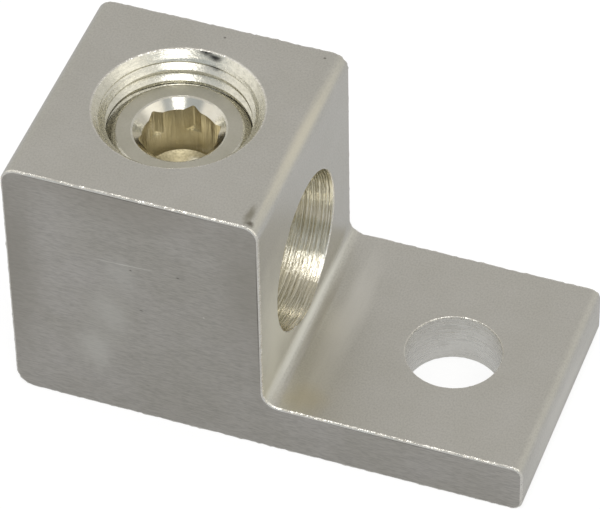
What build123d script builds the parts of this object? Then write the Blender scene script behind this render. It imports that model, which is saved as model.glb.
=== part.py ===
from build123d import *
import os

# Set screw cable lug in millimetres: an L-section extrusion sawn to width, with its socket set screw.
# X runs from the cable side to the tongue tip and Z is up.
# Zero is the middle of the bolt hole on the mounting face.

# Lug section
width = 28.6
rear_x = -46.2
block_front_x = -17.0
tip_x = 12.5
block_height = 33.0
tongue_thickness = 6.4
rear_bottom_radius = 2.2
rear_top_radius = 2.0
front_top_radius = 1.8
inner_radius = 1.8
tip_top_radius = 1.2
tip_bottom_radius = 1.2

# Bolt hole in the tongue
bolt_hole_radius = 5.35
bolt_hole_edge_break = 0.15

# Conductor bore through the block
bore_radius = 9.1
bore_z = 16.6

# Tapped hole for the set screw, plain at the crest of its thread
screw_x = -31.55
screw_y = 0.6
tapped_radius = 7.95
mouth_radius = 9.42

# Set screw
screw_radius = 7.87
screw_top_z = 29.85
screw_length = 15.875
screw_bottom_z = screw_top_z - screw_length
screw_top_flat_radius = 7.0
screw_point_radius = 5.3
socket_flats = 7.94
socket_corner_radius = 0.4
socket_depth = 4.0
socket_angle = 31.0
socket_drill_radius = 4.13
socket_drill_depth = 7.0
socket_drill_point = 2.5
countersink_radius = 5.15

with BuildPart() as lug_body:
    with BuildSketch(Plane.XZ):
        with BuildLine():
            Polyline(
                (rear_x, 0), (tip_x, 0), (tip_x, tongue_thickness),
                (block_front_x, tongue_thickness), (block_front_x, block_height),
                (rear_x, block_height), close=True,
            )
        make_face()
        fillet(vertices().sort_by_distance((rear_x, 0))[0], rear_bottom_radius)
        fillet(vertices().sort_by_distance((rear_x, block_height))[0], rear_top_radius)
        fillet(vertices().sort_by_distance((block_front_x, block_height))[0], front_top_radius)
        fillet(vertices().sort_by_distance((block_front_x, tongue_thickness))[0], inner_radius)
        fillet(vertices().sort_by_distance((tip_x, tongue_thickness))[0], tip_top_radius)
        fillet(vertices().sort_by_distance((tip_x, 0))[0], tip_bottom_radius)
    extrude(amount=width / 2, both=True)
    # Bolt hole
    with Locations((0, 0, tongue_thickness)):
        Hole(bolt_hole_radius)
    # Conductor bore, drilled along the lug from the cable side
    with Locations(Plane(origin=(rear_x, 0, bore_z), z_dir=(-1, 0, 0))):
        Hole(bore_radius)
    # Tapped hole down into the conductor bore, with its countersunk mouth
    with Locations((screw_x, screw_y, block_height)):
        Hole(tapped_radius, depth=block_height - bore_z)
        Cone(
            tapped_radius, mouth_radius, mouth_radius - tapped_radius,
            align=(Align.CENTER, Align.CENTER, Align.MAX), mode=Mode.SUBTRACT,
        )
    # The bolt hole's upper rim is lightly deburred
    with Locations((0, 0, tongue_thickness)):
        Cone(
            bolt_hole_radius, bolt_hole_radius + bolt_hole_edge_break, bolt_hole_edge_break,
            align=(Align.CENTER, Align.CENTER, Align.MAX), mode=Mode.SUBTRACT,
        )

with BuildPart() as set_screw:
    with BuildSketch(Plane(origin=(screw_x, screw_y, 0), x_dir=(1, 0, 0), z_dir=(0, -1, 0))):
        with BuildLine():
            Polyline(
                (0, screw_top_z),
                (screw_top_flat_radius, screw_top_z),
                (screw_radius, screw_top_z - (screw_radius - screw_top_flat_radius)),
                (screw_radius, screw_bottom_z + (screw_radius - screw_point_radius)),
                (screw_point_radius, screw_bottom_z),
                (0, screw_bottom_z),
                close=True,
            )
        make_face()
    revolve(axis=Axis((screw_x, screw_y, 0), (0, 0, 1)))
    # Drilled hole for the socket, a little wider than the hexagon's flats
    with Locations((screw_x, screw_y, screw_top_z)):
        Hole(socket_drill_radius, depth=socket_drill_depth)
    with Locations((screw_x, screw_y, screw_top_z - socket_drill_depth)):
        Cone(
            0, socket_drill_radius, socket_drill_point,
            align=(Align.CENTER, Align.CENTER, Align.MAX), mode=Mode.SUBTRACT,
        )
    # Hexagon broached into the upper part of the drilled hole, with a right-angled countersink at its mouth
    with BuildSketch(Plane.XY.offset(screw_top_z)):
        with Locations((screw_x, screw_y)):
            RegularPolygon(socket_flats / 2, 6, major_radius=False, rotation=socket_angle)
        fillet(vertices(), socket_corner_radius)
    extrude(amount=-socket_depth, mode=Mode.SUBTRACT)
    with Locations((screw_x, screw_y, screw_top_z)):
        Cone(
            0, countersink_radius, countersink_radius,
            align=(Align.CENTER, Align.CENTER, Align.MAX), mode=Mode.SUBTRACT,
        )

os.makedirs("parts", exist_ok=True)
lug_body.part.label = "lug_body"
set_screw.part.label = "set_screw"
export_step(lug_body.part, "parts/lug_body.step")
export_step(set_screw.part, "parts/set_screw.step")
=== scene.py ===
import math

import bmesh
import bpy
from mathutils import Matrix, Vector


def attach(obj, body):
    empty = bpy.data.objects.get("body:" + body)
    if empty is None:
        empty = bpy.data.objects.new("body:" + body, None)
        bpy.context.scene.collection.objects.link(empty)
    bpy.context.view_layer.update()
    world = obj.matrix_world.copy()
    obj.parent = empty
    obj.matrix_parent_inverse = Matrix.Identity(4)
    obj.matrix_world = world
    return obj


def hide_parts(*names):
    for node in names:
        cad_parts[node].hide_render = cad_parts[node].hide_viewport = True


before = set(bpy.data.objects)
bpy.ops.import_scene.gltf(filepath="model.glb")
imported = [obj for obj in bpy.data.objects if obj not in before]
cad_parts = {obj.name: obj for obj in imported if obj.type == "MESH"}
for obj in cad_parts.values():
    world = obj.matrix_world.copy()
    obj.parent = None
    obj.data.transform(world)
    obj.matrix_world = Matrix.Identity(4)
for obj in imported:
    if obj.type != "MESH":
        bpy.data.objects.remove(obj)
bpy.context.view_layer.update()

# A tin-plated aluminium set screw lug: one extruded, sawn, drilled and tapped body and its socket set screw.
# Sizes are written in millimetres, as in the part's source, and turned to metres once.
MM = 0.001

# Lug section
width = 28.6 * MM
half_width = width / 2
rear_x = -46.2 * MM
block_front_x = -17.0 * MM
tip_x = 12.5 * MM
block_height = 33.0 * MM
tongue_thickness = 6.4 * MM
# Corners of the section across the lug: x, z, radius, steps in the curve
section_corners = [
    (rear_x, 0.0, 2.2 * MM, 10),
    (rear_x, block_height, 2.0 * MM, 10),
    (block_front_x, block_height, 1.8 * MM, 10),
    (block_front_x, tongue_thickness, 1.8 * MM, 10),
    (tip_x, tongue_thickness, 1.2 * MM, 8),
    (tip_x, 0.0, 1.2 * MM, 8),
]

# Broken edges: a rounded edge is three lines of points, and the middle one is torn into a burr
sawn_edge_break = 0.24 * MM
rim_break = 0.12 * MM
screw_rim_break = 0.13 * MM
middle_inset = 1 - math.cos(math.radians(45))
burr_spacing = 0.45 * MM
saw_burr = 0.085 * MM
drill_burr = 0.025 * MM
line_reach = 0.02 * MM

# How far a cutting tool runs on past the metal
overrun = 1 * MM
sink_overrun = 0.5 * MM

# Holes
bolt_hole_radius = 5.35 * MM
bore_radius = 9.1 * MM
bore_z = 16.6 * MM
bore_middle_x = -31.6 * MM
bore_drill_length = 40 * MM
bore_sides = 160
screw_x = -31.55 * MM
screw_y = 0.6 * MM
mouth_radius = 9.42 * MM
mouth_chamfer = 0.80 * MM
lead_in_end_z = 31.2 * MM

# Thread: 16 turns to the inch, with the worn, rounded-over form that the plating leaves
pitch = 1.5875 * MM
turn_steps = 96
hole_crest_radius = 7.95 * MM
hole_root_radius = 8.55 * MM
screw_major_radius = 8.46 * MM
screw_root_radius = 7.85 * MM
flank_slope = 0.85
thread_start_z = 12.275 * MM
thread_sides = 192
# The cutters' ridges: flat on the ridge, and the radius at which its flanks end, in the open
tap_flat = 0.2 * MM
tap_flank_radius = 7.8 * MM
tap_turns = 13
die_flat = 0.42 * MM
die_flank_radius = 8.52 * MM
die_turns = 12

# Set screw
screw_top_z = 29.85 * MM
screw_bottom_z = screw_top_z - 15.875 * MM
screw_top_flat_radius = 7.0 * MM
screw_point_radius = 5.3 * MM
socket_flats = 7.94 * MM
socket_corner_radius = 0.4 * MM
socket_depth = 4.0 * MM
socket_angle = math.radians(1)
socket_drill_radius = 4.13 * MM
socket_drill_depth = 7.0 * MM
socket_drill_point = 2.5 * MM
countersink_radius = 5.15 * MM

screw_axis = Vector((screw_x, screw_y, 0))
smooth_angle = math.radians(10)


# Modelling helpers
def rest():
    """Leaves edit mode with nothing selected."""
    if bpy.context.object and bpy.context.object.mode != "OBJECT":
        bpy.ops.object.mode_set(mode="OBJECT")
    bpy.ops.object.select_all(action="DESELECT")


def take(piece):
    """Makes the piece the only one selected and the active one."""
    rest()
    piece.select_set(True)
    bpy.context.view_layer.objects.active = piece
    return piece


def settle(name):
    """Names the new primitive and puts its place, turn and size into its mesh."""
    piece = bpy.context.object
    piece.name = piece.data.name = name
    bpy.ops.object.transform_apply(location=True, rotation=True, scale=True)
    return piece


def box_between(name, low, high):
    rest()
    low, high = Vector(low), Vector(high)
    bpy.ops.mesh.primitive_cube_add(size=1, location=(low + high) / 2, scale=high - low)
    return settle(name)


def round_bar(name, radius, low_z, high_z, x=0.0, y=0.0, sides=128):
    rest()
    bpy.ops.mesh.primitive_cylinder_add(
        vertices=sides, radius=radius, depth=high_z - low_z, location=(x, y, (low_z + high_z) / 2))
    return settle(name)


def cone_bar(name, low_radius, high_radius, low_z, high_z, x=0.0, y=0.0, sides=128):
    rest()
    bpy.ops.mesh.primitive_cone_add(
        vertices=sides, radius1=low_radius, radius2=high_radius, depth=high_z - low_z,
        location=(x, y, (low_z + high_z) / 2))
    return settle(name)


def pick(piece, kind, test):
    """Enters edit mode with only the faces or edges selected that pass the test."""
    take(piece)
    bpy.ops.object.mode_set(mode="EDIT")
    bpy.ops.mesh.select_mode(type=kind)
    bpy.ops.mesh.select_all(action="DESELECT")
    shape = bmesh.from_edit_mesh(piece.data)
    shape.normal_update()
    for part in shape.faces if kind == "FACE" else shape.edges:
        if test(part):
            part.select_set(True)
    bmesh.update_edit_mesh(piece.data)


def both_ends(edge, test):
    return all(test(vertex.co) for vertex in edge.verts)


def near(a, b, reach=0.01 * MM):
    return abs(a - b) < reach


def from_bolt_axis(co):
    return math.hypot(co.x, co.y)


def from_bore_axis(co):
    return math.hypot(co.y, co.z - bore_z)


def from_screw_axis(co):
    return math.hypot(co.x - screw_x, co.y - screw_y)


def round_edges(piece, test, radius, steps):
    pick(piece, "EDGE", lambda edge: both_ends(edge, test))
    bpy.ops.mesh.bevel(offset=radius, offset_type="OFFSET", segments=steps, profile=0.5, affect="EDGES")


def tear(piece, test, height, seed):
    """Throws the chosen edges' points about by up to the height, as a saw or drill leaves a burr."""
    pick(piece, "EDGE", lambda edge: both_ends(edge, test))
    bpy.ops.transform.vertex_random(offset=height, uniform=0.0, normal=0.0, seed=seed)
    rest()


def apply_modifier(piece, kind, **settings):
    take(piece)
    bpy.ops.object.modifier_add(type=kind)
    modifier = piece.modifiers[-1]
    for name, value in settings.items():
        setattr(modifier, name, value)
    bpy.ops.object.modifier_apply(modifier=modifier.name)


def cut(piece, tool):
    """Cuts the closed tool body out of the closed piece and deletes the tool."""
    apply_modifier(piece, "BOOLEAN", operation="DIFFERENCE", solver="MANIFOLD", object=tool)
    bpy.data.objects.remove(tool)


def thread_cutter(name, deep_radius, shallow_radius, deep_flat, middle_z, turns):
    """One helical ridge, flat on top with sloping flanks, which cuts a thread's groove."""
    rest()
    bpy.ops.mesh.primitive_plane_add(size=1)
    cutter = settle(name)
    deep_half = deep_flat / 2
    shallow_half = deep_half + abs(deep_radius - shallow_radius) * flank_slope
    section = [
        (shallow_radius, middle_z - shallow_half), (deep_radius, middle_z - deep_half),
        (deep_radius, middle_z + deep_half), (shallow_radius, middle_z + shallow_half),
    ]
    pick(cutter, "FACE", lambda face: True)
    bpy.ops.mesh.delete(type="ONLY_FACE")
    ring = bmesh.from_edit_mesh(cutter.data)
    corner = min(ring.verts, key=lambda vertex: (vertex.co.x, vertex.co.y))
    walk, edge = [corner], None
    for _ in range(3):
        edge = next(e for e in walk[-1].link_edges if e is not edge)
        walk.append(edge.other_vert(walk[-1]))
    for vertex, (radius, z) in zip(walk, section):
        vertex.co = (radius, 0, z)
    bmesh.update_edit_mesh(cutter.data)
    bpy.ops.object.mode_set(mode="OBJECT")
    apply_modifier(
        cutter, "SCREW", axis="Z", angle=math.tau, screw_offset=pitch, iterations=turns,
        steps=turn_steps, render_steps=turn_steps, use_merge_vertices=False)
    pick(cutter, "EDGE", lambda edge: edge.is_boundary)
    bpy.ops.mesh.fill_holes(sides=4)
    bpy.ops.mesh.select_all(action="SELECT")
    bpy.ops.mesh.remove_doubles(threshold=0.0005 * MM)
    bpy.ops.mesh.normals_make_consistent(inside=False)
    bpy.ops.object.mode_set(mode="OBJECT")
    take(cutter)
    cutter.location = screw_axis
    bpy.ops.object.transform_apply(location=True, rotation=False, scale=False)
    return cutter


# Lug body: the tongue's slab, the block raised from it, and the section's rounded corners
body = box_between("lug_body_metal", (rear_x, -half_width, 0), (tip_x, half_width, tongue_thickness))
pick(body, "FACE", lambda face: True)
bpy.ops.mesh.bisect(plane_co=(block_front_x, 0, 0), plane_no=(1, 0, 0))
pick(body, "FACE", lambda face: face.normal.z > 0.9 and face.calc_center_median().x < block_front_x)
bpy.ops.mesh.extrude_region_move(
    TRANSFORM_OT_translate={"value": (0, 0, block_height - tongue_thickness)})
bpy.ops.mesh.select_all(action="SELECT")
bpy.ops.mesh.dissolve_limited(angle_limit=math.radians(1))
for corner_x, corner_z, radius, steps in section_corners:
    round_edges(body, lambda co: near(co.x, corner_x) and near(co.z, corner_z), radius, steps)

# Sawn edges, rounded over, divided into short lengths and torn along their middle line
for side in (-1, 1):
    round_edges(body, lambda co: near(co.y, side * half_width), sawn_edge_break, 2)
    longest = tip_x - rear_x
    while longest > burr_spacing:
        pick(body, "EDGE", lambda edge: edge.calc_length() > burr_spacing and both_ends(
            edge, lambda co: side * co.y > half_width - sawn_edge_break * 1.05))
        bpy.ops.mesh.subdivide(number_cuts=1)
        longest /= 2
tear(
    body, lambda co: near(abs(co.y), half_width - sawn_edge_break * middle_inset, line_reach),
    saw_burr, seed=3)

# Bolt hole and conductor bore, with their rims broken and torn in the same way
cut(body, round_bar("bolt_drill", bolt_hole_radius, -overrun, tongue_thickness + overrun))
rest()
bpy.ops.mesh.primitive_cylinder_add(
    vertices=bore_sides, radius=bore_radius, depth=bore_drill_length, location=(bore_middle_x, 0, bore_z),
    rotation=(0, math.pi / 2, 0))
cut(body, settle("bore_drill"))
middle_drop = rim_break * middle_inset
for level, inward in ((0.0, 1), (tongue_thickness, -1)):
    round_edges(
        body, lambda co: near(from_bolt_axis(co), bolt_hole_radius) and near(co.z, level), rim_break, 2)
    tear(
        body, lambda co: near(from_bolt_axis(co), bolt_hole_radius + middle_drop, line_reach)
        and near(co.z, level + inward * middle_drop, line_reach),
        drill_burr, seed=5)
for level, inward in ((rear_x, 1), (block_front_x, -1)):
    round_edges(
        body, lambda co: near(from_bore_axis(co), bore_radius) and near(co.x, level), rim_break, 2)
    tear(
        body, lambda co: near(from_bore_axis(co), bore_radius + middle_drop, line_reach)
        and near(co.x, level + inward * middle_drop, line_reach),
        drill_burr, seed=6)

# Tapped hole: tap drill, lead-in, torn chamfer at the mouth, and last the thread's groove, which runs on
# down until it leaves the bore's side wall
cut(body, round_bar(
    "tap_drill", hole_crest_radius, bore_z, block_height + overrun, screw_x, screw_y, thread_sides))
cut(body, cone_bar(
    "lead_in", hole_crest_radius - 0.02 * MM, mouth_radius - mouth_chamfer,
    lead_in_end_z, block_height - mouth_chamfer, screw_x, screw_y, thread_sides))
cut(body, cone_bar(
    "mouth_sink", mouth_radius - mouth_chamfer - sink_overrun, mouth_radius + sink_overrun,
    block_height - mouth_chamfer - sink_overrun, block_height + sink_overrun,
    screw_x, screw_y, thread_sides))
round_edges(
    body, lambda co: near(from_screw_axis(co), mouth_radius) and near(co.z, block_height), rim_break, 2)
tear(
    body, lambda co: near(from_screw_axis(co), mouth_radius, 0.03 * MM)
    and block_height - 0.06 * MM < co.z < block_height - 0.005 * MM,
    drill_burr, seed=7)
cut(body, thread_cutter(
    "tap", hole_root_radius, tap_flank_radius, tap_flat, thread_start_z + pitch, tap_turns))

# Set screw: a turned bar with a drilled and broached socket and its countersink, and last its thread
screw = round_bar(
    "set_screw_metal", screw_major_radius, screw_bottom_z, screw_top_z, screw_x, screw_y, thread_sides)
for end_z, flat_radius in ((screw_top_z, screw_top_flat_radius), (screw_bottom_z, screw_point_radius)):
    pick(screw, "EDGE", lambda edge: both_ends(edge, lambda co: near(co.z, end_z)))
    bpy.ops.mesh.bevel(
        offset=screw_major_radius - flat_radius, offset_type="OFFSET", segments=1, affect="EDGES",
        clamp_overlap=False)
round_edges(screw, lambda co: near(co.z, screw_top_z), screw_rim_break, 1)
drill_end_z = screw_top_z - socket_drill_depth
drill = round_bar(
    "socket_drill", socket_drill_radius, drill_end_z, screw_top_z + overrun, screw_x, screw_y)
pick(drill, "FACE", lambda face: face.normal.z < -0.9)
bpy.ops.mesh.extrude_region_move(TRANSFORM_OT_translate={"value": (0, 0, -socket_drill_point)})
bpy.ops.mesh.merge(type="CENTER")
cut(screw, drill)
rest()
bpy.ops.mesh.primitive_cylinder_add(
    vertices=6, radius=socket_flats / math.sqrt(3), depth=socket_depth + overrun,
    location=(screw_x, screw_y, screw_top_z + (overrun - socket_depth) / 2), rotation=(0, 0, socket_angle))
broach = settle("hexagon_broach")
pick(broach, "EDGE", lambda edge: abs(edge.verts[0].co.z - edge.verts[1].co.z) > 1 * MM)
bpy.ops.mesh.bevel(
    offset=socket_corner_radius * math.tan(math.radians(30)), offset_type="OFFSET", segments=4, profile=0.5,
    affect="EDGES")
cut(screw, broach)
cut(screw, cone_bar(
    "socket_sink", 0, countersink_radius + sink_overrun, screw_top_z - countersink_radius,
    screw_top_z + sink_overrun, screw_x, screw_y))
round_edges(
    screw, lambda co: near(from_screw_axis(co), countersink_radius) and near(co.z, screw_top_z),
    screw_rim_break, 1)
cut(screw, thread_cutter(
    "die", screw_root_radius, die_flank_radius, die_flat, thread_start_z + pitch / 2, die_turns))


# Material helpers
def colour(code):
    """An sRGB hex colour as linear red, green, blue and alpha."""
    parts = [int(code[i:i + 2], 16) / 255 for i in (1, 3, 5)]
    return [c / 12.92 if c <= 0.04045 else ((c + 0.055) / 1.055) ** 2.4 for c in parts] + [1.0]


def add_node(tree, kind, feeds=None, **settings):
    """Adds a node with its settings; feeds gives its inputs values or other nodes' outputs."""
    made = tree.nodes.new(kind)
    for name, value in settings.items():
        setattr(made, name, value)
    for socket, value in (feeds or {}).items():
        if isinstance(value, bpy.types.NodeSocket):
            tree.links.new(value, made.inputs[socket])
        else:
            made.inputs[socket].default_value = value
    return made


def grain(tree, place, size_mm, detail=3.0):
    """Noise whose blotches measure about size_mm along each axis."""
    per_metre = [1 / (size * MM) for size in size_mm]
    scaled = add_node(
        tree, "ShaderNodeVectorMath", {0: place, 1: per_metre}, operation="MULTIPLY").outputs[0]
    return add_node(
        tree, "ShaderNodeTexNoise",
        {"Vector": scaled, "Scale": 1.0, "Detail": detail, "Roughness": 0.6}).outputs[0]


def mark(tree, place, under, spot):
    """Lays one stain, rub, dent, scratch, painted highlight or painted shade over the colour under it, with
    a ragged edge.
    """
    centre_mm, reach_mm, tint, strength, turn = spot
    local = add_node(
        tree, "ShaderNodeMapping",
        {"Vector": place, "Location": [c * MM for c in centre_mm], "Rotation": (0, math.radians(turn), 0),
         "Scale": [r * MM for r in reach_mm]}, vector_type="TEXTURE").outputs[0]
    away = add_node(tree, "ShaderNodeVectorMath", {0: local}, operation="LENGTH").outputs["Value"]
    torn = add_node(tree, "ShaderNodeTexNoise", {"Vector": local, "Scale": 1.7, "Detail": 5.0}).outputs[0]
    # Fully laid near the middle, gone at about the reach
    edge = add_node(tree, "ShaderNodeMath", {0: torn, 1: 0.8, 2: away}, operation="MULTIPLY_ADD").outputs[0]
    cover = add_node(
        tree, "ShaderNodeMapRange", {"Value": edge, "From Min": 1.4, "From Max": 0.5, "To Max": strength},
        interpolation_type="SMOOTHSTEP").outputs[0]
    return add_node(
        tree, "ShaderNodeMix", {"Factor": cover, "A": under, "B": colour(tint)},
        data_type="RGBA").outputs["Result"]


def metal(
        name, light, dark, roughness, roughness_spread, relief, hollows, marks=(), mottle_mm=5.0,
        rings=None):
    """Tin plate with two tones in soft clouds, darker and rougher hollows, and relief.

    relief lists patterns from coarse to fine: size along each axis in mm, and depth in mm.
    hollows is how far the first pattern's hollows fall from the tone, from 0 to 1.
    rings gives the spacing and depth in mm of a drill's feed marks, whose long sides face +X.
    """
    material = bpy.data.materials.new(name)
    material.use_nodes = True
    tree = material.node_tree
    shader = tree.nodes["Principled BSDF"]
    shader.inputs["Metallic"].default_value = 1.0
    place = add_node(tree, "ShaderNodeTexCoord").outputs["Object"]
    patterns = [(grain(tree, place, size_mm), depth_mm) for size_mm, depth_mm in relief]

    clouds = grain(tree, place, (mottle_mm,) * 3, 4.0)
    cloudy = add_node(
        tree, "ShaderNodeMapRange", {"Value": clouds, "From Min": 0.35, "From Max": 0.65}).outputs[0]
    tone = add_node(
        tree, "ShaderNodeMix", {"Factor": cloudy, "A": colour(dark), "B": colour(light)},
        data_type="RGBA").outputs["Result"]
    shade = add_node(
        tree, "ShaderNodeMapRange",
        {"Value": patterns[0][0], "From Min": 0.3, "From Max": 0.6, "To Min": 1 - hollows}).outputs[0]
    tone = add_node(
        tree, "ShaderNodeVectorMath", {0: tone, "Scale": shade}, operation="SCALE").outputs[0]
    for spot in marks:
        tone = mark(tree, place, tone, spot)
    tree.links.new(tone, shader.inputs["Base Color"])

    rough = add_node(
        tree, "ShaderNodeMapRange",
        {"Value": patterns[0][0], "From Min": 0.3, "From Max": 0.7,
         "To Min": roughness + roughness_spread, "To Max": roughness - roughness_spread}).outputs[0]
    tree.links.new(rough, shader.inputs["Roughness"])
    surface = None
    for height, depth_mm in patterns:
        feeds = {"Height": height, "Strength": 1.0, "Distance": depth_mm * MM}
        if surface:
            feeds["Normal"] = surface
        surface = add_node(tree, "ShaderNodeBump", feeds).outputs[0]
    if rings:
        spacing_mm, depth_mm = rings
        feed = add_node(
            tree, "ShaderNodeTexWave",
            {"Vector": place, "Scale": math.pi / 10 / (spacing_mm * MM), "Distortion": 1.2, "Detail": 2.0,
             "Detail Scale": 1.5}, bands_direction="X", wave_profile="SAW").outputs[1]
        surface = add_node(
            tree, "ShaderNodeBump",
            {"Height": feed, "Strength": 1.0, "Distance": depth_mm * MM, "Normal": surface},
            invert=True).outputs[0]
    tree.links.new(surface, shader.inputs["Normal"])
    return material


# Extruded skin: satin warm grey, with crystals of tin as fine grain and faint die lines across the lug.
# The grain of the plate is finer than shown; it is drawn 0.2 mm wide so that it shows.
skin = metal(
    "tin_plated_extruded_aluminium", "#DEDCD6", "#DAD8D1", 0.37, 0.03,
    relief=[((0.20, 0.26, 0.20), 0.0012), ((0.5, 40.0, 0.5), 0.0015)], hollows=0.14,
    marks=[
        # Painted reflections: lighter on the block's front and on the tongue by it
        ((-17.0, -10.0, 14.0), (1.0, 10.0, 13.0), "#FAF9F0", 1.0, 0),
        ((-12.8, 0.0, 6.4), (2.8, 17.0, 1.0), "#F2F0EA", 0.8, 0),
        # Painted shade in the crease at the foot of the inner fillet
        ((-15.7, 0.0, 6.4), (0.8, 17.0, 0.5), "#B0AA98", 0.6, 0),
        # Painted highlights along both fillets, and a lighter painted reflection on the tip's end
        ((-16.6, 0.0, 7.1), (0.7, 17.0, 0.7), "#FFFFF8", 0.8, 0),
        ((-17.6, 0.0, 32.5), (1.1, 17.0, 1.1), "#F6F0DE", 0.6, 0),
        ((12.5, 0.0, 3.0), (0.9, 18.0, 3.0), "#F0EEE8", 0.7, 0),
        # Drying stain in the inner corner
        ((-13.1, -12.0, 6.4), (4.0, 3.6, 2.0), "#D8CFB4", 0.5, 0),
        # Dirt at the block's front corner, then small dents on its top
        ((-18.6, -12.4, 33.0), (0.7, 2.2, 1.0), "#8E8873", 0.65, 0),
        ((-18.1, -13.5, 33.0), (0.7, 0.5, 0.7), "#5E5748", 0.85, 0),
        ((-45.4, 13.6, 33.0), (0.35, 0.3, 0.4), "#5E5A50", 0.9, 0),
        ((-30.7, 12.6, 33.0), (0.22, 0.2, 0.3), "#5E5A50", 0.8, 0),
        ((-19.3, 13.0, 33.0), (0.25, 0.2, 0.3), "#5E5A50", 0.8, 0),
    ])

# Sawn side: greyer, with fine lines along the cut, soft rubbed patches, one long scratch and small digs
sawn = metal(
    "tin_plated_sawn_aluminium", "#C8C5C0", "#C0BDB6", 0.44, 0.05,
    relief=[((0.9, 0.5, 0.13), 0.009), ((5.0, 1.0, 0.17), 0.008)], hollows=0.20, mottle_mm=9.0,
    marks=[
        # Painted shade: darker along the top and at both ends
        ((-32.0, -14.3, 32.0), (17.0, 1.0, 5.0), "#A8A39A", 0.5, 3),
        ((-46.4, -14.3, 20.0), (6.5, 1.0, 22.0), "#A6A29A", 0.7, 0),
        ((-17.4, -14.3, 22.0), (6.0, 1.0, 22.0), "#A8A49B", 0.6, 0),
        # Shadowed line where the saw's burr rolls over the top, the tongue's edge and the block's front
        ((-31.6, -14.3, 32.66), (16.0, 1.0, 0.10), "#6F6C67", 0.7, 0),
        ((-1.0, -14.3, 6.1), (15.0, 1.0, 0.09), "#6F6C67", 0.6, 0),
        ((-17.32, -14.3, 20.0), (0.09, 1.0, 14.0), "#6F6C67", 0.7, 0),
        # Rubbed bright in a soft streak
        ((-32.8, -14.3, 21.0), (3.0, 1.0, 4.0), "#D2D1CC", 0.35, 0),
        ((-34.4, -14.3, 14.6), (3.6, 1.0, 5.6), "#D8D7D1", 0.45, 0),
        ((-36.4, -14.3, 8.6), (3.2, 1.0, 5.2), "#DCDBD5", 0.5, 0),
        # Long scratch, then three digs and a bright speck
        ((-32.3, -14.3, 22.9), (5.6, 1.0, 0.09), "#E6E5DF", 0.8, -2.6),
        ((-31.7, -14.3, 22.3), (0.25, 0.5, 0.14), "#6A6862", 0.8, 0),
        ((-26.3, -14.3, 22.9), (0.30, 0.5, 0.14), "#6A6862", 0.8, 0),
        ((-30.7, -14.3, 16.5), (0.35, 0.5, 0.12), "#6A6862", 0.8, 0),
        ((-23.5, -14.3, 17.8), (0.16, 0.5, 0.16), "#E6E5DF", 0.9, 0),
    ])

# Torn edge: clean bright metal in small hard facets, so it sparkles
burr = metal(
    "torn_edge_aluminium", "#F6F4EE", "#ECE9E1", 0.28, 0.08,
    relief=[((0.55, 0.55, 0.55), 0.18), ((0.16, 0.16, 0.16), 0.02)], hollows=0.10)

# Drilled bore: rings from the drill's feed, uneven round the wall.
# Their long sides lean to +X, so light that comes in at the bore's mouth makes a bright streaked band.
bored = metal(
    "tin_plated_drilled_aluminium", "#EEEADC", "#E4DFCE", 0.18, 0.04,
    relief=[((0.26, 7.0, 7.0), 0.10), ((0.12, 3.0, 3.0), 0.016)], hollows=0.22, rings=(0.45, 0.085),
    marks=[
        # Painted shade: a darker strip high on the wall, and another between the two bright bands
        ((-20.0, 8.6, 20.2), (6.0, 2.0, 2.4), "#A8A28C", 0.6, 0),
        ((-20.0, 8.0, 12.3), (6.0, 1.5, 1.8), "#B4AE96", 0.6, 0),
    ])

# Reamed bolt hole: finer rings about the upright axis, bright where they face the light
reamed = metal(
    "tin_plated_reamed_aluminium", "#FAF9F4", "#F0EEE8", 0.26, 0.05,
    relief=[((5.0, 5.0, 0.34), 0.08), ((1.6, 1.6, 0.16), 0.05)], hollows=0.08)

# Tapped thread and countersunk mouth: cut bright, a little torn, with fine rings
tapped = metal(
    "tin_plated_tapped_aluminium", "#F0EEE4", "#E6E3D6", 0.26, 0.06,
    relief=[((0.5, 0.5, 0.25), 0.03), ((4.0, 4.0, 0.2), 0.03), ((0.2, 0.2, 0.12), 0.012)], hollows=0.16,
    marks=[
        # Painted dark reflection in ragged patches at the back of the mouth
        ((-31.9, 9.9, 32.9), (1.2, 0.8, 0.45), "#1C1C1E", 0.95, 0),
        ((-30.7, 9.6, 32.6), (1.3, 0.8, 0.40), "#2C2B2A", 0.95, 0),
        ((-30.6, 9.0, 31.7), (1.6, 1.0, 0.4), "#3A3833", 0.8, 0),
    ])

# Turned screw top: soft grey with faint lathe lines
turned = metal(
    "tin_plated_turned_aluminium", "#D8D5C8", "#CECBBC", 0.36, 0.04,
    relief=[((0.25, 0.25, 0.25), 0.008)], hollows=0.06)

# Countersink: the smoothest cut on the part, nearly a mirror
sunk = metal(
    "tin_plated_countersunk_aluminium", "#E6E3DA", "#DEDACE", 0.16, 0.03,
    relief=[((0.9, 0.9, 0.5), 0.010)], hollows=0.04)

# Broached socket: upright draw lines on warm bright walls
broached = metal(
    "tin_plated_broached_aluminium", "#FBF7EC", "#E8E1CC", 0.20, 0.05,
    relief=[((0.6, 0.6, 9.0), 0.10), ((0.2, 0.2, 3.0), 0.02)], hollows=0.10)

# Bottom of the socket: darker and rougher than the walls, with one painted highlight, a bright crescent
socket_bottom = metal(
    "tin_plated_drill_point_aluminium", "#CFC6A8", "#B6AC8C", 0.45, 0.06,
    relief=[((0.25, 0.25, 0.25), 0.03)], hollows=0.25,
    marks=[((-30.9, 3.6, 22.4), (1.6, 0.8, 0.7), "#FFFDF2", 0.9, 0)])


def dress(piece, finishes):
    """Gives each face the first finish whose test it passes."""
    piece.data.materials.clear()
    for material, _ in finishes:
        piece.data.materials.append(material)
    for face in piece.data.polygons:
        points = [piece.data.vertices[i].co for i in face.vertices]
        face.material_index = next(
            i for i, (_, test) in enumerate(finishes) if test(face, points))


def on_bore(face, points):
    return all(near(from_bore_axis(p), bore_radius, line_reach) for p in points)


def on_bolt_hole(face, points):
    return all(near(from_bolt_axis(p), bolt_hole_radius, line_reach) for p in points)


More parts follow.
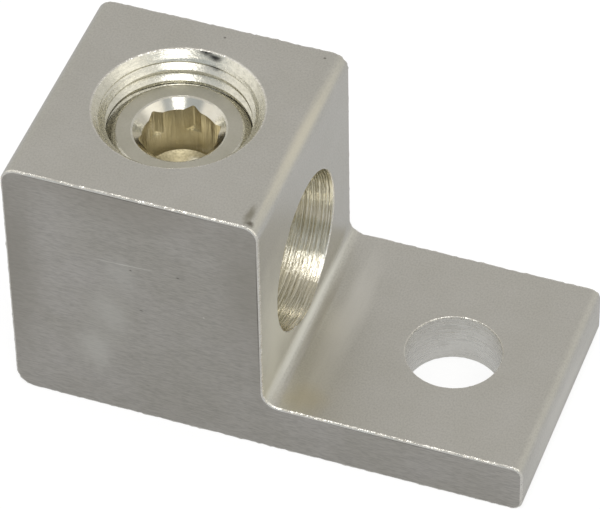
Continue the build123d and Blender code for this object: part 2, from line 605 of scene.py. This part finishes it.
def on_torn_rim(face, points):
    """The broken rims of the bolt hole, the bore and the tapped hole's mouth."""
    reach = rim_break * 1.3
    return all(near(from_bolt_axis(p), bolt_hole_radius, reach) for p in points) or all(
        near(from_bore_axis(p), bore_radius, reach) for p in points) or all(
        near(from_screw_axis(p), mouth_radius, reach) and p.z > block_height - rim_break for p in points)


def in_tapped_hole(face, points):
    return all(from_screw_axis(p) < mouth_radius + line_reach for p in points)


def on_sawn_side(face, points):
    return all(abs(p.y) > half_width - 0.005 * MM for p in points)


def on_sawn_edge(face, points):
    return abs(face.center.y) > half_width - sawn_edge_break * 1.05


def in_socket(face, points):
    return face.center.z > screw_bottom_z + 1 * MM and all(
        from_screw_axis(p) < countersink_radius + line_reach for p in points)


def on_socket_bottom(face, points):
    return in_socket(face, points) and face.normal.z > 0.5 and all(
        p.z < screw_top_z - socket_depth + 0.01 * MM for p in points)


for piece in (body, screw):
    take(piece)
    bpy.ops.object.shade_smooth_by_angle(angle=smooth_angle)

dress(body, [
    (bored, on_bore), (reamed, on_bolt_hole), (burr, on_torn_rim), (tapped, in_tapped_hole),
    (sawn, on_sawn_side), (burr, on_sawn_edge), (skin, lambda face, points: True)])
dress(screw, [
    (socket_bottom, on_socket_bottom),
    (sunk, lambda face, points: in_socket(face, points) and 0.5 < face.normal.z < 0.9),
    (broached, in_socket),
    (tapped, lambda face, points: abs(face.normal.z) < 0.98),
    (turned, lambda face, points: True)])
for piece, node, slot_name in (
        (body, "lug_body", "tin_plated_extrusion"), (screw, "set_screw", "tin_plated_screw")):
    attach(piece, node)
    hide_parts(node)

# Floor: a backlit white acrylic table, white to the camera and dimmer in the metal.
# It keeps a faint shadow, and lies a hair under the mounting face so that the two don't share a plane.
table_seen = 0.80
table_in_metal = 0.30
table_colour = 0.22
floor_gap = 0.02 * MM
rest()
bpy.ops.mesh.primitive_plane_add(size=6, location=(0, 0, -floor_gap))
floor = settle("floor")
floor_material = bpy.data.materials.new("white_acrylic_table")
floor_material.use_nodes = True
floor_material.cycles.emission_sampling = "NONE"
tree = floor_material.node_tree
tree.nodes.remove(tree.nodes["Principled BSDF"])
rays = add_node(tree, "ShaderNodeLightPath")
seen = add_node(
    tree, "ShaderNodeMath", {0: rays.outputs["Is Camera Ray"], 1: table_seen},
    operation="MULTIPLY").outputs[0]
glow = add_node(
    tree, "ShaderNodeMath", {0: rays.outputs["Is Glossy Ray"], 1: table_in_metal, 2: seen},
    operation="MULTIPLY_ADD").outputs[0]
lit = add_node(tree, "ShaderNodeEmission", {"Color": (1, 1, 1, 1), "Strength": glow}).outputs[0]
matt = add_node(tree, "ShaderNodeBsdfDiffuse", {"Color": (table_colour,) * 3 + (1,)}).outputs[0]
both = add_node(tree, "ShaderNodeAddShader", {0: lit, 1: matt}).outputs[0]
tree.links.new(both, tree.nodes["Material Output"].inputs["Surface"])
floor.data.materials.append(floor_material)

# Surroundings: white to the camera, and in reflections a light tent with an opening at the front.
# Each panel of the tent is its colour and the edges where it fades in: direction axis, from, to.
tent_panels = [
    ((0.62, 0.61, 0.57), [("X", 0.1, 0.6)]),
    ((1.20, 1.17, 1.08), [("X", 0.50, 0.78), ("Y", 0.50, 0.10), ("Z", 0.00, 0.35)]),
    ((0.54, 0.53, 0.49), [("X", -0.5, -0.8)]),
    ((0.96, 0.94, 0.88), [("X", -0.35, -0.62), ("Y", 0.50, 0.10), ("Z", 0.00, 0.36)]),
    ((0.48, 0.51, 0.53), [("Y", -0.22, -0.40), ("X", -0.62, -0.45), ("X", 0.80, 0.62), ("Z", 0.80, 0.72)]),
]
world = bpy.data.worlds.new("light_tent")
bpy.context.scene.world = world
world.use_nodes = True
world.cycles.sampling_method = "NONE"
tree = world.node_tree
tree.nodes.clear()
rays = add_node(tree, "ShaderNodeLightPath")
way = add_node(tree, "ShaderNodeTexCoord").outputs["Generated"]
direction = add_node(tree, "ShaderNodeSeparateXYZ", {0: way}).outputs
tent = add_node(tree, "ShaderNodeRGB").outputs[0]
tent.default_value = (0.53, 0.52, 0.50, 1)
for tint, edges in tent_panels:
    cover = None
    for axis, outer, inner in edges:
        fade = add_node(
            tree, "ShaderNodeMapRange", {"Value": direction[axis], "From Min": outer, "From Max": inner},
            interpolation_type="SMOOTHSTEP").outputs[0]
        cover = add_node(
            tree, "ShaderNodeMath", {0: cover, 1: fade}, operation="MULTIPLY").outputs[0] if cover else fade
    tent = add_node(
        tree, "ShaderNodeMix", {"Factor": cover, "A": tent, "B": tint + (1,)},
        data_type="RGBA").outputs["Result"]
shown = add_node(
    tree, "ShaderNodeMix", {"Factor": rays.outputs["Is Glossy Ray"], "A": (1, 1, 1, 1), "B": tent},
    data_type="RGBA").outputs["Result"]
sky = add_node(tree, "ShaderNodeBackground", {"Color": shown, "Strength": 1.0}).outputs[0]
add_node(tree, "ShaderNodeOutputWorld", {"Surface": sky})


# Lamps
def softbox(name, azimuth, elevation, distance, wide, tall, strength, tint):
    """A rectangular area lamp aimed at the block; strength is how bright the lamp's face is.

    Azimuth turns from the sawn side towards the tongue's tip, and both angles are in degrees.
    """
    target = Vector((-20 * MM, 0, 16 * MM))
    a, e = math.radians(azimuth), math.radians(elevation)
    away = Vector((math.sin(a) * math.cos(e), -math.cos(a) * math.cos(e), math.sin(e)))
    lamp = bpy.data.lights.new(name, "AREA")
    lamp.shape = "RECTANGLE"
    lamp.size, lamp.size_y = wide, tall
    lamp.energy = strength * math.pi * wide * tall
    lamp.color = tint
    holder = bpy.data.objects.new(name, lamp)
    holder.location = target + away * distance
    holder.rotation_mode = "QUATERNION"
    holder.rotation_quaternion = away.to_track_quat("Z", "Y")
    bpy.context.scene.collection.objects.link(holder)


softbox("top_softbox", 20, 64, 0.9, 0.33, 0.50, 4.2, (1.0, 0.99, 0.97))

# Camera
lens = bpy.data.cameras.new("camera")
lens.lens = 264.05
lens.sensor_width = 36
lens.clip_start, lens.clip_end = 0.01, 20
camera = bpy.data.objects.new("camera", lens)
camera.location = (102.01 * MM, -317.58 * MM, 354.73 * MM)
camera.rotation_euler = [math.radians(a) for a in (45.030, 0.846, 19.816)]
bpy.context.scene.collection.objects.link(camera)
bpy.context.scene.camera = camera
bpy.context.scene.view_settings.view_transform = "Standard"
